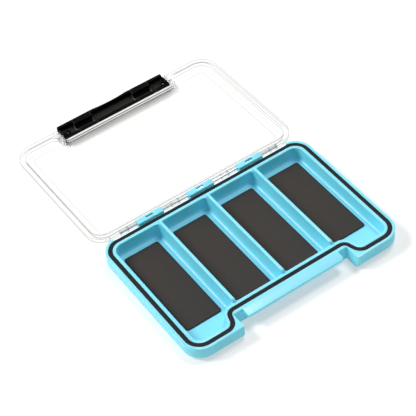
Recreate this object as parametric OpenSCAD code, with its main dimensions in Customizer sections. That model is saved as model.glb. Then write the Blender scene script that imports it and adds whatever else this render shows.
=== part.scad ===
// Slim waterproof fly box: moulded four-bay tray, magnetic pads, rim seal,
// clear hinged lid and a swing-over front latch.
// Frame: X along the hinge, Y from the latch to the hinge, Z up. The origin is the
// middle of the tray's underside. The lid is drawn laid back and the latch swung out.

/* [Tray] */
// Overall width of the tray, along the hinge
tray_w = 188; // [180:1:210]
// Depth of the tray, front lobes to back corners
tray_d = 128; // [122:1:150]
// Height of the tray up to the rim
tray_h = 12.8; // [11.5:0.1:20]
// Plan radius of the outer corners
tray_corner_r = 15.3; // [13:0.1:20]
// Radius along the bottom outer edge
tray_edge_r = 4; // [1:0.1:5]
// Thickness of the floor
floor_t = 1.2; // [1:0.1:2]
// Radius where the walls of a bay meet its floor
bay_fillet_r = 2.8; // [1:0.1:2.8]
// Plan radius of the bay corners beside a divider
bay_corner_r = 2.9; // [2.9:0.1:3]

/* [Dividers] */
// Number of bays in the tray
bay_count = 4; // [3:1:4]
// Distance from each side of the tray to the grid that the bays share out
bay_grid_inset = 6; // [5.5:0.1:6.5]
// Thickness of a divider
divider_t = 2.4; // [1.6:0.1:4]
// Height of the divider crest above the rim
crest_h = 3; // [1.5:0.1:3.4]
// Radius of the rounded end of a crest
crest_end_r = 3; // [1.5:0.1:3.4]

/* [Rim seal] */
// Distance from the outer edge to the middle of the seal
seal_inset = 3.8; // [3.5:0.1:4.5]
// Width of the rubber seal
seal_w = 3.5; // [2.4:0.1:3.6]
// Height of the rubber seal
seal_h = 1.5; // [1.2:0.1:2]
// Drop of the seal's top below the rim
seal_drop = 0.2; // [0.1:0.05:0.5]
// Side clearance of the seal in its groove
seal_fit = 0.05; // [0.02:0.01:0.15]
// Width of the rim inside the middle of the seal
rim_inner_w = 4.2; // [3.6:0.1:4.4]

/* [Latch notch] */
// Distance from the middle of an outer divider to the end of the notch
notch_past = 7; // [5:0.1:7.5]
// Depth of the notch from the front face
notch_depth = 13.5; // [11:0.1:13.6]
// Distance from the notch wall to the middle of the seal
notch_rim_w = 4.22; // [4.1:0.02:4.6]
// Distance from the notch's end to the corner of the seal's step
step_past = 1.4; // [1.2:0.1:3]
// Seal radius at the notch end of the step
step_inner_r = 5.6; // [4.5:0.1:5.6]
// Seal radius at the lobe end of the step
step_outer_r = 8; // [7:0.1:8.5]
// Distance from the ledge's end to the end of the notch
ledge_end_gap = 8; // [8:0.1:13]
// Reach of the catch ledge from the notch wall
ledge_reach = 7.8; // [6:0.1:7.9]
// Thickness of the catch ledge
ledge_t = 2.6; // [1.8:0.1:3.5]
// Corner radius at the right end of the ledge
ledge_right_r = 2.7; // [0.5:0.1:4]
// Corner radius at the left end of the ledge
ledge_left_r = 0.6; // [0.5:0.1:4]

/* [Magnetic pads] */
// Distance from a pad's side to the middle of the divider beside it
pad_side_gap = 6.7; // [6:0.1:10]
// Gap from the front inner wall to the pad
pad_front_gap = 7; // [4:0.1:20]
// Thickness of a magnetic pad
pad_t = 0.8; // [0.5:0.1:1.5]
// Gap from the back inner wall to the pad
pad_back_gap = 6; // [4:0.1:7]
// Corner radius of a pad
pad_r = 2; // [0.5:0.1:4]

/* [Hinge] */
// Distance of the hinge axis behind the face of the recess
hinge_back = 3.05; // [2.9:0.05:3.4]
// Diameter of the steel hinge pin
pin_d = 2; // [1.4:0.1:2.1]
// Radial clearance of the lid knuckles on the pin
pin_fit = 0.05; // [0.02:0.01:0.1]
// Distance from the end of the recess to the outer lid knuckle
hinge_end_gap = 7.9; // [5:0.1:10]
// Length of a tray knuckle
tray_knuckle_l = 22.5; // [16:0.5:26]
// Length of a lid knuckle
lid_knuckle_l = 7; // [5:0.1:10]
// Height of a tray knuckle above the rim
knuckle_rise = 1.8; // [1.6:0.1:2.2]
// Clearance between a tray knuckle and the back of the opened lid
knuckle_gap = 0.35; // [0.25:0.05:0.6]
// Radius of a tray knuckle's upper edges
knuckle_soft_r = 0.8; // [0.4:0.1:1]
// Height of the gusset that carries a tray knuckle, below the pin
gusset_h = 6.5; // [4:0.1:8]
// Outer radius of a lid knuckle
lid_knuckle_r = 2.4; // [2:0.1:2.6]
// Length of the moulding window over the pin
window_l = 6.3; // [3:0.1:10]
// Width of the moulding window over the pin
window_w = 2.2; // [1.2:0.1:3]
// Distance from the side of the tray to the recess that the hinge sits in
recess_inset = 13; // [12.5:0.1:14]
// Drop of the rim behind the seal, in the recess
recess_rim_drop = 0.8; // [0.6:0.1:1]
// Thickness of the lip behind the seal, in the recess
back_lip_t = 0.35; // [0.3:0.05:0.8]

/* [Lid] */
// Height of the clear lid, from the rim to its outer face
lid_h = 7.8; // [7.2:0.1:12]
// Gap between the lid and the rim when shut
lid_gap = 0.2; // [0.1:0.05:0.5]
// Thickness of the lid's window
lid_t = 1.4; // [1:0.1:1.8]
// Radius along the lid's outer edge
lid_edge_r = 5; // [3:0.1:5.5]
// Radius inside, where the lid's wall meets its window
lid_fillet_r = 2.8; // [2:0.1:2.8]
// Height of the pressing ridge below the lid's edge
ridge_h = 0.25; // [0.1:0.05:0.25]
// Width of the pressing ridge on the seal
ridge_w = 1.2; // [0.8:0.1:1.6]
// Extra half width of the lid's notch over the tray's
lid_notch_extra = 1; // [0.5:0.1:1.5]

/* [Latch] */
// Gap between the latch and each end of the notch
latch_end_gap = 0.4; // [0.3:0.1:2]
// Height of the latch pivot above the rim
pivot_rise = 2.2; // [2:0.1:2.4]
// Distance of the latch pivot behind the front face
pivot_inset = 6.5; // [6.3:0.1:6.8]
// Reach of the latch above its pivot
latch_above = 5.5; // [4:0.1:5.6]
// Reach of the latch below its pivot
latch_below = 11; // [10:0.1:12]
// Depth of the latch, from its front to the edges of its walls
latch_t = 8; // [7.4:0.1:8.2]
// Thickness of the latch's front in its two pockets
latch_skin = 1.4; // [1:0.1:2.4]
// Thickness of the latch's front outside the pockets
panel_t = 3.4; // [2.6:0.1:4]
// Radius of the latch's outer edges
latch_edge_r = 1.2; // [0.5:0.1:1.6]
// Plan radius of the latch's corners beside the lid
latch_corner_r = 1.6; // [0.5:0.1:2]
// Radius of the pivot ears
ear_r = 2.4; // [1.8:0.1:2.6]
// Length of a pivot ear
ear_l = 7; // [5:0.1:7.4]
// Diameter of the latch pins
latch_pin_d = 1.6; // [1.2:0.1:2]
// Length of a latch pin inside the lid's wall
latch_pin_bite = 3; // [2:0.1:4]
// Half width of the panel between the two pockets
panel_half_w = 19.8; // [12:0.1:22]
// Distance from the outer end of a pocket to the end of the ledge
pocket_end_gap = 6.5; // [4:0.1:12]
// Width of the panel above the pockets, from the pivot down
panel_band_w = 3.1; // [2.8:0.1:4]
// Width of the wall along the upper edge
flange_w = 3; // [2:0.1:3.2]
// Width of the wall along the free edge
lip_w = 2.6; // [2:0.1:3]
// Thickness of the wall at each end
end_t = 1.2; // [0.8:0.1:2]
// Gap between an end wall and the wall along the free edge
end_gap = 1.6; // [0.5:0.1:3]
// Gap between the latch and the ledge
ledge_gap = 0.4; // [0.3:0.05:0.5]
// Depth of the thumb scoop in the free edge
scoop = 1; // [0.2:0.1:1.2]
// Radius of the thumb scoop
scoop_r = 130; // [100:1:160]
// Diameter of the dimple in the middle panel
dimple_d = 1.6; // [1:0.1:3]
// Depth of the dimple
dimple_h = 0.4; // [0.2:0.1:1]
// Length of the moulding window over each latch pin
pin_window_l = 2.4; // [1.5:0.1:3]
// Width of the moulding window over each latch pin
pin_window_w = 2.6; // [1.2:0.1:3]

/* [Hidden] */
$fn = 96;
eps = 0.01;
cut = 1;

half_w = tray_w / 2;
half_d = tray_d / 2;
divider_pitch = (tray_w - 2 * bay_grid_inset) / bay_count;
outer_divider_x = (bay_count / 2 - 1) * divider_pitch;
seal_x = half_w - seal_inset;
seal_y = half_d - seal_inset;
seal_corner_r = tray_corner_r - seal_inset;
notch_half_w = outer_divider_x + notch_past;
step_half_w = notch_half_w + step_past;
step_reach = notch_depth + notch_rim_w - seal_inset;
step_y = step_reach - seal_y;
// The step leans 7 in 24, so that its tangent points come out as round numbers
step_lean = step_reach * 7 / 24;
groove_half = seal_w / 2 + seal_fit;
back_face_y = seal_y + groove_half + back_lip_t;
seal_z = tray_h - seal_drop - seal_h;
hinge_y = back_face_y + hinge_back;
hinge_z = tray_h;
recess_half_l = half_w - recess_inset;
// Three tray knuckles and four lid knuckles take turns along the pin
knuckle_pitch = (recess_half_l - hinge_end_gap - lid_knuckle_l / 2) / 1.5;
notch_y = notch_depth - half_d;
ledge_y = notch_y - ledge_reach;
ledge_half_w = notch_half_w - ledge_end_gap;
pivot_y = pivot_inset - half_d;
pivot_z = tray_h + pivot_rise;
latch_half_l = notch_half_w - latch_end_gap;
pocket_far_x = ledge_half_w - pocket_end_gap;
lid_base_z = tray_h + lid_gap;
lid_top_z = tray_h + lid_h;
lid_notch_half_w = notch_half_w + lid_notch_extra;
// The opened lid leans past flat until the latch, swung out, lies on the ground
lid_past_flat = asin((hinge_z - pivot_inset) / norm([hinge_y - pivot_y, pivot_rise]))
    - atan(pivot_rise / (hinge_y - pivot_y));
latch_open = 90 - lid_past_flat;
lid_open = 180 + lid_past_flat;

// Seal line, counter-clockwise: [x, y, corner radius]
seal_path = [
    [seal_x, -seal_y, seal_corner_r],
    [seal_x, seal_y, seal_corner_r],
    [-seal_x, seal_y, seal_corner_r],
    [-seal_x, -seal_y, seal_corner_r],
    [-step_half_w - step_lean, -seal_y, step_outer_r],
    [-step_half_w, step_y, step_inner_r],
    [step_half_w, step_y, step_inner_r],
    [step_half_w + step_lean, -seal_y, step_outer_r]
];

// Geometry of a path with rounded corners
function point(path, i) = [path[(i + len(path)) % len(path)].x, path[(i + len(path)) % len(path)].y];
function heading(path, i) =
    let (d = point(path, i + 1) - point(path, i)) atan2(d.y, d.x);
function wrap(a) = a > 180 ? a - 360 : a <= -180 ? a + 360 : a;
function turn(path, i) = wrap(heading(path, i) - heading(path, i - 1));
function trim(path, i) = path[i % len(path)].z * abs(tan(turn(path, i % len(path)) / 2));
function ahead(a) = [cos(a), sin(a)];
function left(a) = [-sin(a), cos(a)];
function arc_start(path, i) = point(path, i) - trim(path, i) * ahead(heading(path, i - 1));
function arc_end(path, i) = point(path, i) + trim(path, i) * ahead(heading(path, i));
function arc_centre(path, i) =
    arc_start(path, i) + sign(turn(path, i)) * path[i].z * left(heading(path, i - 1));

// The same path moved inwards, its corners kept concentric
function inset(path, d) = [for (i = [0:len(path) - 1])
    let (a = left(heading(path, i - 1)), b = left(heading(path, i)),
        p = point(path, i) + d * (a + b) / (1 + a * b))
    [p.x, p.y, path[i].z - sign(turn(path, i)) * d]];

// Flat shape inside a rounded path
module outline(path) {
    corners = [for (i = [0:len(path) - 1]) each [arc_start(path, i), arc_end(path, i)]];
    difference() {
        union() {
            polygon(corners);
            for (i = [0:len(path) - 1]) if (turn(path, i) > 0) corner_piece(path, i);
        }
        for (i = [0:len(path) - 1]) if (turn(path, i) < 0) corner_piece(path, i);
    }
}

module corner_piece(path, i) {
    intersection() {
        translate(arc_centre(path, i)) circle(path[i].z);
        polygon([arc_start(path, i), point(path, i), arc_end(path, i), arc_centre(path, i)]);
    }
}

// Carries a section round a path: section x points inwards and section y points up
module sweep(path) {
    for (i = [0:len(path) - 1]) {
        run = arc_start(path, (i + 1) % len(path)) - arc_end(path, i);
        translate(arc_end(path, i)) rotate(heading(path, i)) rotate([90, 0, 90])
            linear_extrude(norm(run)) children();
        if (turn(path, i) > 0)
            translate(arc_centre(path, i)) rotate(heading(path, i - 1) - 90)
                rotate_extrude(angle = turn(path, i)) translate([path[i].z, 0]) mirror([1, 0]) children();
        if (turn(path, i) < 0)
            translate(arc_centre(path, i)) rotate(heading(path, i) + 90)
                rotate_extrude(angle = -turn(path, i)) translate([path[i].z, 0]) children();
    }
}

// Pocket with an open top and a fillet round its floor
module pocket(path, floor_z, top_z, r) {
    translate([0, 0, floor_z + r]) linear_extrude(top_z - floor_z - r) outline(path);
    translate([0, 0, floor_z]) linear_extrude(r + eps) outline(inset(path, r));
    translate([0, 0, floor_z]) sweep(path) intersection() {
        translate([r, r]) circle(r);
        square(r);
    }
}

// Block with rounded plan corners and a radius along its bottom edge
module rounded_block(w, d, h, corner_r, edge_r) {
    module section(span) {
        translate([edge_r - span / 2, 0]) square([span - 2 * edge_r, h]);
        translate([-span / 2, edge_r]) square([span, h - edge_r]);
        intersection() {
            for (s = [-1, 1]) translate([s * (span / 2 - edge_r), edge_r]) circle(edge_r);
            translate([-span / 2, 0]) square([span, edge_r]);
        }
    }
    rotate([90, 0, 0]) linear_extrude(d - 2 * corner_r, center = true) section(w);
    rotate([90, 0, 90]) linear_extrude(w - 2 * corner_r, center = true) section(d);
    for (x = [-1, 1], y = [-1, 1]) translate([x * (w / 2 - corner_r), y * (d / 2 - corner_r), 0])
        rotate_extrude() intersection() {
            section(2 * corner_r);
            square([corner_r, h]);
        }
}

// Box from two opposite corners
module span_box(a, b) {
    translate(a) cube(b - a);
}

// Bay outlines, from the seal line and the dividers
bay_line = inset(seal_path, rim_inner_w);
bay_back_y = bay_line[1].y;
bay_front_y = bay_line[6].y;

function end_bay() =
    let (x = outer_divider_x + divider_t / 2)
    [bay_line[0], bay_line[1], [x, bay_back_y, bay_corner_r], [x, bay_front_y, bay_corner_r],
     bay_line[6], bay_line[7]];

function middle_bay(k) =
    let (x0 = (k - bay_count / 2) * divider_pitch + divider_t / 2,
        x1 = x0 + divider_pitch - divider_t)
    [[x1, bay_front_y, bay_corner_r], [x1, bay_back_y, bay_corner_r],
     [x0, bay_back_y, bay_corner_r], [x0, bay_front_y, bay_corner_r]];

module bays() {
    bay_top = tray_h + cut;
    for (m = [0, 1]) mirror([m, 0, 0]) pocket(end_bay(), floor_t, bay_top, bay_fillet_r);
    for (k = [1:bay_count - 2]) pocket(middle_bay(k), floor_t, bay_top, bay_fillet_r);
}

// Raised crest on a divider, rounded at both ends and along its top edges
module crest() {
    crest_soft_r = divider_t / 3;
    root = 1;
    mid_y = (bay_back_y + bay_front_y) / 2;
    long = bay_back_y - bay_front_y;
    intersection() {
        translate([0, mid_y, tray_h]) rotate([90, 0, 90])
            linear_extrude(divider_t, center = true) {
                translate([-long / 2, -root]) square([long, root]);
                translate([-long / 2 + crest_end_r, 0]) square([long - 2 * crest_end_r, crest_h]);
                for (s = [-1, 1]) intersection() {
                    translate([s * (long / 2 - crest_end_r), crest_h - crest_end_r]) circle(crest_end_r);
                    translate([-long / 2, 0]) square([long, crest_h]);
                }
            }
        translate([0, mid_y, tray_h]) rotate([90, 0, 0])
            linear_extrude(long + cut, center = true) {
                translate([-divider_t / 2, -root - cut])
                    square([divider_t, root + cut + crest_h - crest_soft_r]);
                translate([crest_soft_r - divider_t / 2, 0])
                    square([divider_t - 2 * crest_soft_r, crest_h]);
                for (s = [-1, 1]) translate([s * (divider_t / 2 - crest_soft_r), crest_h - crest_soft_r])
                    circle(crest_soft_r);
            }
    }
}

// Catch ledge across the notch, with a different radius at each front corner
module ledge() {
    translate([0, 0, tray_h - ledge_t]) linear_extrude(ledge_t) difference() {
        translate([-ledge_half_w, ledge_y]) square([2 * ledge_half_w, ledge_reach + cut]);
        for (e = [[-1, ledge_left_r], [1, ledge_right_r]])
            translate([e.x * (ledge_half_w - e.y), ledge_y + e.y]) difference() {
                translate([e.x > 0 ? 0 : -e.y - cut, -e.y - cut]) square([e.y + cut, e.y + cut]);
                circle(e.y);
            }
    }
}

// Section of a tray knuckle in the Y-Z plane, about the pin
module knuckle_section() {
    soft_r = knuckle_soft_r;
    wall = back_face_y - hinge_y;
    root = wall - back_lip_t / 2;
    front = wall + lid_gap;
    back = hinge_back - knuckle_gap;
    translate([front + soft_r, -back]) square([back - front - 2 * soft_r, knuckle_rise + back]);
    translate([front, -back]) square([back - front, knuckle_rise + back - soft_r]);
    for (y = [front + soft_r, back - soft_r]) translate([y, knuckle_rise - soft_r]) circle(soft_r);
    polygon([[root, -gusset_h], [wall, -gusset_h], [back, -back], [back, -recess_rim_drop],
        [root, -recess_rim_drop]]);
}

module tray_knuckles() {
    for (x = [-1:1]) translate([x * knuckle_pitch, hinge_y, hinge_z]) rotate([90, 0, 90])
        linear_extrude(tray_knuckle_l, center = true) knuckle_section();
}

module pin_bore(d, half_l) {
    translate([-half_l, hinge_y, hinge_z]) rotate([0, 90, 0]) cylinder(d = d, h = 2 * half_l);
}

module base_tray() {
    color("#5fd0ea") difference() {
        union() {
            difference() {
                rounded_block(tray_w, tray_d, tray_h, tray_corner_r, tray_edge_r);
                span_box([-notch_half_w, -half_d - cut, -cut], [notch_half_w, notch_y, tray_h + cut]);
                span_box([-recess_half_l, back_face_y, -cut], [recess_half_l, half_d + cut, tray_h + cut]);
                bays();
                translate([0, 0, seal_z]) sweep(seal_path)
                    translate([-groove_half, 0]) square([2 * groove_half, seal_h + seal_drop + cut]);
                span_box([-recess_half_l, seal_y + groove_half - eps, tray_h - recess_rim_drop],
                    [recess_half_l, half_d, tray_h + cut]);
            }
            for (k = [1:bay_count - 1])
                translate([(k - bay_count / 2) * divider_pitch, 0, 0]) crest();
            ledge();
            tray_knuckles();
        }
        pin_bore(pin_d, knuckle_pitch + tray_knuckle_l);
        for (x = [-1:1]) translate([x * knuckle_pitch, hinge_y, hinge_z])
            span_box([-window_l / 2, -window_w / 2, 0], [window_l / 2, window_w / 2, knuckle_rise + cut]);
    }
}

// Closed band of a given width that follows the seal line
module seal_band(w) {
    difference() {
        outline(inset(seal_path, -w / 2));
        outline(inset(seal_path, w / 2));
    }
}

module rim_seal() {
    color("#202226") translate([0, 0, seal_z]) linear_extrude(seal_h) seal_band(seal_w);
}

module pad(k) {
    x = (k - (bay_count + 1) / 2) * divider_pitch;
    half = divider_pitch / 2 - pad_side_gap;
    front_y = bay_front_y + pad_front_gap;
    back_y = bay_back_y - pad_back_gap;
    path = [[x + half, front_y, pad_r], [x + half, back_y, pad_r],
        [x - half, back_y, pad_r], [x - half, front_y, pad_r]];
    color("#3b3734") translate([0, 0, floor_t]) linear_extrude(pad_t) outline(path);
}

module magnetic_pad_1() { pad(1); }
module magnetic_pad_2() { pad(2); }
module magnetic_pad_3() { pad(3); }
module magnetic_pad_4() { pad(4); }

// The outermost lid knuckles sit one half pitch beyond the outer tray knuckles
lid_knuckle_xs = [-1.5, -0.5, 0.5, 1.5] * knuckle_pitch;
pin_half_l = 1.5 * knuckle_pitch + lid_knuckle_l / 2;

module hinge_pin() {
    color("#b9bdc2") pin_bore(pin_d, pin_half_l);
}

// Turns a piece about the hinge, from shut to laid back
module laid_back() {
    translate([0, hinge_y, hinge_z]) rotate([-lid_open, 0, 0]) translate([0, -hinge_y, -hinge_z]) children();
}

module lid_knuckle() {
    reach = hinge_y - back_face_y;
    rotate([90, 0, 90]) linear_extrude(lid_knuckle_l, center = true) {
        circle(lid_knuckle_r);
        translate([-reach - cut, lid_gap]) square([reach + cut, lid_knuckle_r - lid_gap]);
    }
}

// One half of the lid's hollow, lapping over the middle into the other half
function lid_half_line() =
    let (line = inset(seal_path, ridge_w / 2), lap = -divider_pitch / 2, r = 1.25 * lid_fillet_r)
    [line[0], line[1], [lap, line[1].y, r], [lap, line[6].y, r], line[6], line[7]];

module lid_shut() {
    ceiling_z = lid_top_z - lid_t;
    edge_z = lid_base_z - ridge_h;
    difference() {
        union() {
            difference() {
                translate([0, 0, lid_top_z]) mirror([0, 0, 1])
                    rounded_block(tray_w, tray_d, lid_top_z - edge_z, tray_corner_r, lid_edge_r);
                for (m = [0, 1]) mirror([m, 0, 0]) translate([0, 0, ceiling_z]) mirror([0, 0, 1])
                    pocket(lid_half_line(), 0, ceiling_z - edge_z + cut, lid_fillet_r);
                translate([0, 0, edge_z - cut]) linear_extrude(cut + ridge_h) difference() {
                    square([tray_w + cut, tray_d + cut], center = true);
                    outline(inset(seal_path, -ridge_w / 2));
                }
                span_box([-lid_notch_half_w, -half_d - cut, 0],
                    [lid_notch_half_w, notch_y, lid_top_z + cut]);
                span_box([-recess_half_l, back_face_y, 0], [recess_half_l, half_d + cut, lid_top_z + cut]);
            }
            for (x = lid_knuckle_xs) translate([x, hinge_y, hinge_z]) lid_knuckle();
        }
        pin_bore(pin_d + 2 * pin_fit, pin_half_l + cut);
        for (s = [-1, 1]) latch_pin_rod(s);
    }
}

module latch_pin_rod(side) {
    start = latch_half_l - ear_l;
    length = lid_notch_half_w + latch_pin_bite - start;
    translate([side * (start + length / 2), pivot_y, pivot_z]) rotate([0, 90, 0])
        cylinder(d = latch_pin_d, h = length, center = true);
}

module clear_lid() {
    color("#e9f4f8", 0.35) laid_back() lid_shut();
}

// Section of the latch in the Y-Z plane, about its pivot: front, flange and lip
module latch_section() {
    difference() {
        union() {
            translate([-pivot_inset, -latch_below]) square([panel_t, latch_above + latch_below]);
            translate([-pivot_inset, latch_above - flange_w]) square([latch_t, flange_w]);
            translate([-pivot_inset, -latch_below]) square([latch_t, lip_w]);
        }
        for (e = [[latch_above, 1], [-latch_below, -1]])
            translate([latch_edge_r - pivot_inset, e.x - e.y * latch_edge_r]) difference() {
                translate([-latch_edge_r - cut, e.y > 0 ? 0 : -latch_edge_r - cut])
                    square(latch_edge_r + cut);
                circle(latch_edge_r);
            }
    }
}

// Outline of the latch seen from the front, along its whole depth
module latch_outline() {
    path = [[latch_half_l, -latch_below, latch_edge_r], [latch_half_l, latch_above, latch_corner_r],
        [-latch_half_l, latch_above, latch_corner_r], [-latch_half_l, -latch_below, latch_edge_r]];
    translate([0, latch_t, 0]) rotate([90, 0, 0]) linear_extrude(2 * latch_t) outline(path);
}

// Ear round the pivot, with the wall that closes the latch's end
module ear() {
    front_y = panel_t - pivot_inset - eps;
    translate([latch_half_l - ear_l / 2, 0, 0]) rotate([90, 0, 90])
        linear_extrude(ear_l, center = true) {
            circle(ear_r);
            translate([front_y, -ear_r]) square([-front_y, 2 * ear_r]);
        }
    span_box([latch_half_l - end_t, front_y, lip_w + end_gap - latch_below],
        [latch_half_l, latch_t - pivot_inset, latch_above - flange_w + eps]);
}

// Pocket in the front, less the hook in it that catches under the ledge
module hook_pocket() {
    hook_z = tray_h - ledge_t - ledge_gap - pivot_z;
    span_box([panel_half_w, latch_skin - pivot_inset, hook_z],
        [pocket_far_x, latch_t, -panel_band_w]);
}

// Hook along a pocket, joined to the wall of the free edge
module hook() {
    hook_z = tray_h - ledge_t - ledge_gap - pivot_z;
    span_box([panel_half_w, panel_t - pivot_inset - eps, lip_w - latch_below - eps],
        [pocket_far_x, latch_t - pivot_inset, hook_z]);
}

// The locked latch, with its pivot at the origin
module latch_body() {
    difference() {
        union() {
            intersection() {
                rotate([90, 0, 90]) linear_extrude(2 * latch_half_l, center = true) latch_section();
                latch_outline();
            }
            for (m = [0, 1]) mirror([m, 0, 0]) {
                ear();
                hook();
            }
        }
        for (m = [0, 1]) mirror([m, 0, 0]) {
            hook_pocket();
            translate([latch_half_l - ear_l - cut, 0, 0]) rotate([0, 90, 0])
                cylinder(d = latch_pin_d + 2 * pin_fit, h = ear_l + 2 * cut);
            translate([latch_half_l - ear_l + pin_window_l, 0, 0])
                span_box([-pin_window_l / 2, 0, -pin_window_w / 2],
                    [pin_window_l / 2, ear_r + cut, pin_window_w / 2]);
        }
        translate([0, panel_t - pivot_inset - dimple_h, -panel_band_w]) rotate([-90, 0, 0])
            cylinder(d = dimple_d, h = dimple_h + cut);
        translate([0, -pivot_inset - cut, scoop - latch_below - scoop_r]) rotate([-90, 0, 0])
            cylinder(r = scoop_r, h = latch_t + 2 * cut);
    }
}

module latch() {
    color("#17181a") laid_back() translate([0, pivot_y, pivot_z]) rotate([-latch_open, 0, 0]) latch_body();
}

module latch_pin_left() {
    color("#c4c7cb") laid_back() latch_pin_rod(-1);
}

module latch_pin_right() {
    color("#c4c7cb") laid_back() latch_pin_rod(1);
}

base_tray();
rim_seal();
magnetic_pad_1();
magnetic_pad_2();
magnetic_pad_3();
magnetic_pad_4();
hinge_pin();
clear_lid();
latch();
latch_pin_left();
latch_pin_right();
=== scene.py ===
import math
import bpy
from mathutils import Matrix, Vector

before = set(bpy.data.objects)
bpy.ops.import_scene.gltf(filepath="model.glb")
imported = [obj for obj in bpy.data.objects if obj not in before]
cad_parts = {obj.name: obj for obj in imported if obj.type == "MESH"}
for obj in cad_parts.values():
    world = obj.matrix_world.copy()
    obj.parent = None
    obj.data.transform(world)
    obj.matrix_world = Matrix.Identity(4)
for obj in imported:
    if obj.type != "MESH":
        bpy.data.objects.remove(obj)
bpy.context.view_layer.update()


# The tray: one injection moulding in sky-blue polypropylene, with the bays, dividers, catch ledge
# and hinge knuckles all in one. The mould leaves a satin grain, and its edges come out rounded.
class Socket:
    """One output socket of a shader, with Python's operators for the maths."""

    def __init__(self, tree, out):
        self.tree, self.out = tree, out

    def node(self, kind, settings=None, **inputs):
        """Adds a node. Each input is named, or numbered as _N, and is a value or a Socket."""
        made = self.tree.nodes.new(kind)
        for name, value in (settings or {}).items():
            setattr(made, name, value)
        for name, value in inputs.items():
            place = int(name[1:]) if name[0] == "_" else name.replace("_", " ")
            if isinstance(value, Socket):
                self.tree.links.new(value.out, made.inputs[place])
            else:
                made.inputs[place].default_value = value
        return made

    def value(self, kind, out=0, settings=None, **inputs):
        return Socket(self.tree, self.node(kind, settings, **inputs).outputs[out])

    def split(self):
        """The three parts of a vector."""
        parts = self.node("ShaderNodeSeparateXYZ", None, _0=self)
        return [Socket(self.tree, out) for out in parts.outputs]

    def dot(self, direction):
        return self.value("ShaderNodeVectorMath", 1, {"operation": "DOT_PRODUCT"}, _0=self,
                          _1=direction)

    def maths(self, operation, *others):
        places = {f"_{i}": v for i, v in enumerate((self, *others))}
        return self.value("ShaderNodeMath", 0, {"operation": operation}, **places)

    def __add__(self, other):
        return self.maths("ADD", other)

    def __mul__(self, other):
        return self.maths("MULTIPLY", other)

    def __sub__(self, other):
        return self.maths("SUBTRACT", other)

    def __rsub__(self, other):
        return self.value("ShaderNodeMath", 0, {"operation": "SUBTRACT"}, _0=other, _1=self)

    def __abs__(self):
        return self.maths("ABSOLUTE")

    __radd__, __rmul__ = __add__, __mul__

    def between(self, low, high):
        """Rises from 0 at low to 1 at high, and stays there."""
        return self.value("ShaderNodeMapRange", 0, {}, Value=self, From_Min=low, From_Max=high)

    def band(self, rise, fall):
        """1 from the end of rise to the start of fall, both of them pairs of values."""
        return self.between(*rise) * (1 - self.between(*fall))

    def line(self, middle, core, fade):
        """1 within core of the middle and 0 past fade."""
        return 1 - abs(self - middle).between(core, fade)

    def blend(self, one, two):
        """Colour one where this is 0 and two where it is 1."""
        return self.value("ShaderNodeMix", 2, {"data_type": "RGBA"}, Factor=self, _6=one, _7=two)


def srgb(red, green, blue):
    """A colour read off a screen, 0 to 255, as the linear colour that a shader takes."""
    parts = [c / 255 for c in (red, green, blue)]
    return (*[p / 12.92 if p <= 0.04 else ((p + 0.055) / 1.055) ** 2.4 for p in parts], 1.0)


def source(tree, kind, out):
    """A Socket on an output of a new node that takes no input."""
    return Socket(tree, tree.nodes.new(kind).outputs[out])


def new_material(name):
    """A new material, its Principled shader and a Socket for the place on the piece."""
    made = bpy.data.materials.new(name)
    made.use_nodes = True
    tree = made.node_tree
    return made, tree.nodes["Principled BSDF"], source(tree, "ShaderNodeTexCoord", "Object")


def feed(shader, **inputs):
    for name, value in inputs.items():
        socket = shader.inputs[name.replace("_", " ")]
        if isinstance(value, Socket):
            value.tree.links.new(value.out, socket)
        else:
            socket.default_value = value


def noise(place, size, detail=2.0, rough=0.5):
    """Soft noise whose blotches are about size metres across."""
    return place.value("ShaderNodeTexNoise", 0, None, Vector=place, Scale=1 / size, Detail=detail,
                       Roughness=rough)


def bump(height, depth, strength):
    """Normals for a surface that stands up to depth metres proud."""
    return height.value("ShaderNodeBump", 0, None, Height=height, Distance=depth, Strength=strength)


def dress(node, material, edge, steps=2):
    """Gives a piece its material and rounds its edges by the width edge.

    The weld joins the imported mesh's loose faces, and the flat faces are merged before the bevel.
    """
    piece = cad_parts[node]
    piece.data.materials.clear()
    piece.data.materials.append(material)
    weld = piece.modifiers.new("weld", "WELD")
    weld.merge_threshold = 1e-6
    flat = piece.modifiers.new("flat", "DECIMATE")
    flat.decimate_type = "DISSOLVE"
    flat.angle_limit = math.radians(0.3)
    bevel = piece.modifiers.new("edges", "BEVEL")
    bevel.width, bevel.segments = edge, steps
    bevel.limit_method, bevel.angle_limit = "ANGLE", math.radians(35)
    bevel.use_clamp_overlap = True
    bevel.harden_normals = True
    for face in piece.data.polygons:
        face.use_smooth = True


tray_plastic, shader, place = new_material("sky_blue_polypropylene")
grain = noise(place, 0.00035, 3)
cloud = noise(place, 0.03, 2)
rim_colour = cloud.between(0.35, 0.65).blend(srgb(136, 222, 246), srgb(141, 226, 249))
# Painted shade: the floors, low in the bays, are given a deeper colour than the rim, the dividers'
# tops and the ledge
height = place.split()[2]
flat_colour = height.between(0.0015, 0.0035).blend(srgb(128, 217, 243), rim_colour)
# Painted light: the upright walls get a deeper, brighter blue than the flat parts, in place of the
# light that comes through the thin walls
level = source(place.tree, "ShaderNodeTexCoord", "Normal").split()[2]
feed(shader,
     Base_Color=level.between(0.2, 0.95).blend(srgb(127, 233, 254), flat_colour),
     Roughness=0.34 + 0.08 * grain, Normal=bump(grain, 0.00002, 0.25), Specular_IOR_Level=0.5,
     Subsurface_Weight=0.3, Subsurface_Radius=(0.1, 1.0, 1.15), Subsurface_Scale=0.003,
     Coat_Weight=0.16, Coat_Roughness=0.14)
dress("base_tray", tray_plastic, 0.00035)


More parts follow.
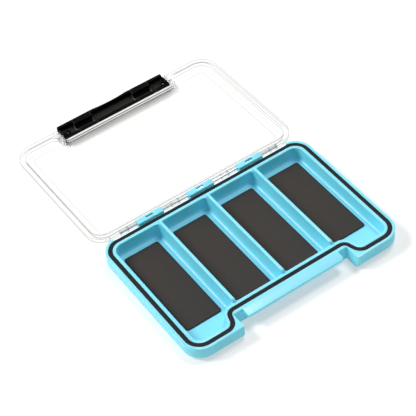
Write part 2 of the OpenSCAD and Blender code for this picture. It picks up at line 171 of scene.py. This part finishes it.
# The rim seal: a round-topped ring of black silicone rubber, pressed into the groove of the rim.
# Its surface is matte, with a little dust on it.
seal_rubber, shader, place = new_material("black_silicone")
dust = noise(place, 0.0006, 3)
feed(shader, Base_Color=dust.blend(srgb(3, 5, 8), srgb(7, 10, 14)), Roughness=0.5 + 0.12 * dust,
     Normal=bump(dust, 0.00003, 0.3), Specular_IOR_Level=0.2)
dress("rim_seal", seal_rubber, 0.0006, steps=3)


# The magnetic pads: die-cut sheets of dark, filled rubber, glued to the floors of the bays.
# A painted shade darkens a thin band along their edges.
pad_rubber, shader, place = new_material("magnetic_sheet")
pad_width_mm, pad_length_mm = 30.6, 85
speck = noise(place, 0.0004, 4, 0.6)
across, down, _ = source(pad_rubber.node_tree, "ShaderNodeTexCoord", "Generated").split()
side_gap_mm = pad_width_mm * (0.5 - abs(across - 0.5))
end_gap_mm = pad_length_mm * (0.5 - abs(down - 0.5))
# Painted shade: a band within about 1 mm of the pad's edges turns near black
edge = 1 - side_gap_mm.maths("MINIMUM", end_gap_mm).between(0.5, 1.0)
rubber = speck.blend(srgb(43, 37, 33), srgb(54, 48, 44))
feed(shader, Base_Color=edge.blend(rubber, srgb(12, 10, 9)), Roughness=0.62 + 0.1 * speck,
     Normal=bump(speck, 0.00003, 0.35), Specular_IOR_Level=0.25)
for count in range(1, 5):
    dress(f"magnetic_pad_{count}", pad_rubber, 0.00015)


# The hinge and latch pins: drawn stainless wire, cut to length.
# Drawing leaves them bright, with fine uneven scratches.
steel, shader, place = new_material("drawn_steel")
scratches = noise(place, 0.0008, 2)
feed(shader, Base_Color=scratches.blend(srgb(176, 178, 182), srgb(206, 208, 212)), Metallic=1.0,
     Roughness=0.22 + 0.1 * scratches)
for node in ("hinge_pin", "latch_pin_left", "latch_pin_right"):
    dress(node, steel, 0.0002)


# The lid: one moulding in clear polycarbonate, polished in the mould, with its knuckles. Light goes
# straight through it; grey lines are painted on its rounded edges in place of the light they bend,
# and the wall by the latch is painted paler.
clear_plastic, shader, place = new_material("clear_polycarbonate")
ripple = noise(place, 0.02, 1)
feed(shader, Base_Color=srgb(254, 254, 253), Roughness=0.01, IOR=1.3, Transmission_Weight=1.0,
     Normal=bump(ripple, 0.0001, 0.05))
tree = clear_plastic.node_tree

# Where a point lies, in metres: from the middle, along the box and above the laid-back window
lean = math.radians(1.9123)
window_up = (0, math.sin(lean), math.cos(lean))
above = place.dot(window_up)
side, along, _ = place.split()
side = abs(side)
level = abs(source(tree, "ShaderNodeTexCoord", "Normal").dot(window_up))
# Past the knuckles the lid proper starts
past_knuckles = along.between(0.0682, 0.0686)

# Light bends in the wall by the latch, but not for lamps or after a first bounce
by_latch = along.between(0.1755, 0.1770) * (1 - side.between(0.0565, 0.0580))
lamp_light = source(tree, "ShaderNodeLightPath", "Is Shadow Ray")
bounced = source(tree, "ShaderNodeLightPath", "Ray Depth").maths("GREATER_THAN", 1.5)
straight = lamp_light.maths("MAXIMUM", bounced).maths("MAXIMUM", 1 - 0.5 * by_latch)
passing = tree.nodes.new("ShaderNodeBsdfTransparent")
passing.inputs["Color"].default_value = (0.99, 0.99, 0.985, 1)
clear = straight.node("ShaderNodeMixShader", None, _0=straight)
tree.links.new(shader.outputs[0], clear.inputs[1])
tree.links.new(passing.outputs[0], clear.inputs[2])

# Painted grey lines on the rounded edges: of the rim, of the fillet below it, and of the wall's
# foot
rim_low, rim_high = 0.0139, 0.0143
rim_lines = above.between(rim_low, rim_high) * (1 - level.between(0.8, 0.97)) * past_knuckles
fillet_line = above.band((0.0108, 0.0111), (0.0117, 0.0120)) * (1 - level.between(0.2, 0.4))
foot_line = above.band((0.0083, 0.0085), (0.0090, 0.0094)) * level.band((0.86, 0.92), (0.98, 0.995))

# Painted grey lines at the ends of the knuckles, which repeat along the wire
half_pitch = 0.0464 / 2
off_knuckle = half_pitch - side.maths("PINGPONG", half_pitch)
knuckle_lines = off_knuckle.between(0.0028, 0.0031) * (1 - past_knuckles)

# A faint step that frames the window, painted as a grey line at one distance inside the lid's
# outline
lid_half_width, lid_half_depth, lid_middle = 0.094, 0.064, 0.1308
frame_inset, frame_corner = 0.011, 0.0045
past_side = side - (lid_half_width - frame_inset - frame_corner)
past_end = abs(along - lid_middle) - (lid_half_depth - frame_inset - frame_corner)
out_side, out_end = past_side.maths("MAXIMUM", 0), past_end.maths("MAXIMUM", 0)
corner_reach = (out_side * out_side + out_end * out_end).maths("SQRT")
inner_reach = past_side.maths("MAXIMUM", past_end).maths("MINIMUM", 0)
on_window = above.band((0.0080, 0.0083), (0.0100, 0.0104))
near_notch = side.between(0.064, 0.058) * along.between(0.150, 0.156)
step_line = (corner_reach + inner_reach).line(frame_corner, 0.0002, 0.0006)
step_line = step_line * on_window * (1 - near_notch)

# By the latch the light bent in the notch's wall is painted: a grey slope, a light crest and two
# dark lines along it
notch_wall = (1 - side.between(0.0490, 0.0530)) * along.between(0.1735, 0.1745)
slope = notch_wall * above.band((0.0088, 0.0092), (rim_low, rim_high))
crest = notch_wall * above.between(0.0143, 0.0145)
outer_dark = crest * along.line(0.1786, 0.0003, 0.0007)
inner_dark = crest * along.line(0.1763, 0.0003, 0.0007)
painted_crest_colour = inner_dark.blend(srgb(226, 225, 224), srgb(150, 150, 151))
painted_crest_colour = outer_dark.blend(painted_crest_colour, srgb(70, 70, 72))

# How much of each place is a painted grey that hides what lies behind, in place of the light the
# surface bends away: more where a surface turns away
turned = place.value("ShaderNodeLayerWeight", 1, None, Blend=0.5).between(0.35, 1.0)
shade = 0.65 * turned.maths("POWER", 2.0) * (1 - 0.75 * level.between(0.95, 0.99))
for line, strength in ((rim_lines, 0.5), (slope, 0.4), (crest, 0.92), (fillet_line, 0.4),
                       (foot_line, 0.15), (step_line, 0.26), (knuckle_lines, 0.2)):
    shade = shade.maths("MAXIMUM", strength * line)
shade = shade * (1 - 0.6 * lamp_light)
grey = tree.nodes.new("ShaderNodeBsdfPrincipled")
painted_line_colour = crest.blend(srgb(100, 107, 113), painted_crest_colour)
feed(grey, Base_Color=slope.blend(painted_line_colour, srgb(235, 235, 235)), Roughness=0.5,
     Specular_IOR_Level=0.1)
edged = shade.node("ShaderNodeMixShader", None, _0=shade)
tree.links.new(clear.outputs[0], edged.inputs[1])
tree.links.new(grey.outputs[0], edged.inputs[2])
tree.links.new(edged.outputs[0], tree.nodes["Material Output"].inputs[0])
dress("clear_lid", clear_plastic, 0.0003)


# The latch: one black acetal moulding with two hooks, which swings on its two pins. Its walls
# are painted darker than the grained panel as shade, and the pockets' ends get painted highlights.
latch_plastic, shader, place = new_material("black_acetal")
grain = noise(place, 0.0004, 3)
side, _, height = place.split()
side = abs(side)
# Painted shade: above 4 to 5 mm the walls take a near-black colour in place of the panel's grey
on_wall = height.between(0.0040, 0.0050)
pocket_near, pocket_far = 0.0198, 0.0365
off_pocket = abs(side - pocket_near).maths("MINIMUM", abs(side - pocket_far))
_, facing_back, facing_up = source(place.tree, "ShaderNodeTexCoord", "Normal").split()
inside = facing_up.between(-0.4, -0.1) * (1 - abs(facing_back).between(0.4, 0.6))
# Painted highlight: a thin light grey line along each pocket's ends
painted_pocket_highlight = inside * (1 - off_pocket.between(0.0003, 0.0006))
panel = painted_pocket_highlight.blend(grain.blend(srgb(37, 38, 35), srgb(45, 46, 42)), srgb(112, 112, 110))
wall = painted_pocket_highlight.blend(srgb(6, 6, 6), srgb(40, 40, 39))
feed(shader, Base_Color=on_wall.blend(panel, wall), Roughness=0.4 + 0.1 * grain,
     Normal=bump(grain, 0.00002, 0.25), Specular_IOR_Level=0.03)
dress("latch", latch_plastic, 0.00025)


# The studio: a pale table with a glow of its own, which renders as white, and an even white room.
# A large soft lamp stands at the back left, and a smaller one above the right side.
table_half = 3.0
box_middle = (0, 0.06, 0)
bpy.ops.mesh.primitive_plane_add(size=2 * table_half, location=box_middle)
table = bpy.context.object
table.name = "table"
table_white, shader, _ = new_material("table_white")
feed(shader, Base_Color=(0.65, 0.635, 0.63, 1), Roughness=0.9, Specular_IOR_Level=0.1)
tree = table_white.node_tree
glow = tree.nodes.new("ShaderNodeEmission")
# The glow and the room light the box less than they show, so that the lamps shape it
lighting = source(tree, "ShaderNodeLightPath", "Is Diffuse Ray")
feed(glow, Strength=0.40 - 0.12 * lighting)
both = tree.nodes.new("ShaderNodeAddShader")
tree.links.new(shader.outputs[0], both.inputs[0])
tree.links.new(glow.outputs[0], both.inputs[1])
tree.links.new(both.outputs[0], tree.nodes["Material Output"].inputs[0])
table.data.materials.append(table_white)

room = bpy.data.worlds.new("room")
bpy.context.scene.world = room
room.use_nodes = True
backdrop = room.node_tree.nodes["Background"]
lighting = source(room.node_tree, "ShaderNodeLightPath", "Is Diffuse Ray")
feed(backdrop, Color=(1, 1, 1, 1), Strength=0.9 - 0.63 * lighting)


def soft_lamp(name, power, size, spot):
    """A round lamp of the given size at spot that shines on the box."""
    data = bpy.data.lights.new(name, "AREA")
    data.energy, data.size, data.shape = power, size, "DISK"
    lamp = bpy.data.objects.new(name, data)
    bpy.context.scene.collection.objects.link(lamp)
    lamp.location = spot
    lamp.rotation_euler = (Vector(box_middle) - Vector(spot)).to_track_quat("-Z", "Y").to_euler()


soft_lamp("back_lamp", 54, 1.0, (-1.5, 1.35, 2.0))
soft_lamp("top_lamp", 24, 0.8, (0.84, 0.36, 2.2))


# The camera: a long lens about a metre away, which stands to the front left of the open box and
# looks down at it.
photo_side = 416
focal_px = 1469.6
sensor = 36.0
lens_data = bpy.data.cameras.new("camera")
lens_data.sensor_width = sensor
lens_data.lens = focal_px * sensor / photo_side
lens_data.clip_start, lens_data.clip_end = 0.05, 20
camera = bpy.data.objects.new("camera", lens_data)
bpy.context.scene.collection.objects.link(camera)
camera.location = (-0.38604, -0.60895, 0.83091)
camera.rotation_euler = [math.radians(a) for a in (42.5657, 4.2880, -34.7769)]
bpy.context.scene.camera = camera
bpy.context.scene.view_settings.view_transform = "Standard"
